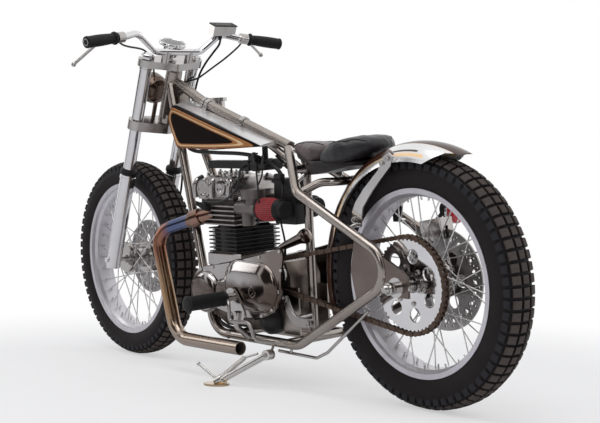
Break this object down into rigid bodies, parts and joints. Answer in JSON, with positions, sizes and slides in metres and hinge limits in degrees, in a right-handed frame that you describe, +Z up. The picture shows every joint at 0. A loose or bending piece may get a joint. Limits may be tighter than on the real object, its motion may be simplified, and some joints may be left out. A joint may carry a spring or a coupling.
{
  "type": "cafe racer motorcycle",
  "caption": "Rigid-frame twin-cylinder custom motorcycle with wire wheels, block-tread tyres, small tank, low saddle and open pipes, on its side stand.",
  "frame": {"origin": "on the ground under the middle of the machine's box, as it leans on its side stand", "axes": "+X forward along the machine, +Y to its left, +Z up; the machine leans 5 degrees towards +Y"},
  "size_m": [2.064, 0.7546, 1.1178],
  "materials": {
    "frame_steel": "brushed bare steel with a warm cast",
    "polished_steel": "polished",
    "cast_alloy": "cast and brushed",
    "black_iron": "satin black",
    "polished_alloy": "mirror polished",
    "chain_steel": "dark oiled",
    "tank_paint": "gloss black side panels in a copper outline, silver top",
    "black_leather": "black upholstery",
    "fender_paint": "gloss silver with copper and brown stripes",
    "filter_red": "pleated red gauze with a black cap",
    "pipe_steel": "heat tinted",
    "black_plastic": "matt black",
    "black_rubber": "black",
    "lamp_red": "red lens in a black body",
    "chrome": "chromed",
    "tyre_rubber": "black",
    "rim_silver": "satin silver",
    "spoke_steel": "bright",
    "disc_steel": "ground"
  },
  "bodies": {
    "chassis": {"frame_spine": "frame_steel", "frame_loops": "frame_steel", "axle_plates": "polished_steel", "crankcase": "cast_alloy", "cylinder_barrels": "black_iron", "cylinder_head": "cast_alloy", "engine_covers": "polished_alloy", "drive_chain": "chain_steel", "front_sprocket": "polished_steel", "engine_mounts": "frame_steel", "fuel_tank": "tank_paint", "tank_fittings": "polished_steel", "saddle": "black_leather", "rear_fender": "fender_paint", "fender_stays": "polished_alloy", "carburettors": "cast_alloy", "air_filters": "filter_red", "exhaust_pipes": "pipe_steel", "electrics_box": "black_plastic", "foot_pegs": "black_rubber", "gear_linkage": "polished_steel", "brake_pedal": "polished_steel", "rear_caliper": "black_iron", "tail_lamp": "lamp_red", "stand_bracket": "frame_steel"},
    "steering": {"fork_tubes": "polished_steel", "fork_sliders": "polished_alloy", "triple_clamps": "polished_alloy", "handlebar": "chrome", "grips": "black_rubber", "levers": "polished_alloy", "headlamp": "chrome", "gauge": "chrome", "front_caliper": "black_iron", "brake_hose": "black_rubber", "clutch_cable": "black_rubber", "throttle_cable": "black_rubber"},
    "front_wheel": {"front_tyre": "tyre_rubber", "front_rim": "rim_silver", "front_spokes": "spoke_steel", "front_hub": "cast_alloy", "front_disc": "disc_steel"},
    "rear_wheel": {"rear_tyre": "tyre_rubber", "rear_rim": "rim_silver", "rear_spokes": "spoke_steel", "rear_hub": "cast_alloy", "rear_sprocket": "polished_alloy", "rear_disc": "disc_steel"},
    "side_stand": {"side_stand": "polished_steel"}
  },
  "joints": [
    {"name": "steering_turn", "type": "hinge", "parent": "chassis", "child": "steering", "pos_m": [0.49638, -0.01922, 0.75745], "axis": [-0.3665, 0.0811, 0.9269], "range_deg": [-26.4, 33.6]},
    {"name": "front_wheel_spin", "type": "hinge", "parent": "steering", "child": "front_wheel", "pos_m": [0.70193, -0.05876, 0.33002], "axis": [0.0584, 0.9962, -0.0641], "continuous": true},
    {"name": "rear_wheel_spin", "type": "hinge", "parent": "chassis", "child": "rear_wheel", "pos_m": [-0.688, -0.05541, 0.34381], "axis": [0, 0.9962, -0.0872], "continuous": true},
    {"name": "side_stand_swing", "type": "hinge", "parent": "chassis", "child": "side_stand", "pos_m": [-0.168, 0.06973, 0.09897], "axis": [-0.1735, 0.9841, -0.0379], "range_deg": [0, 152]}
  ]
}
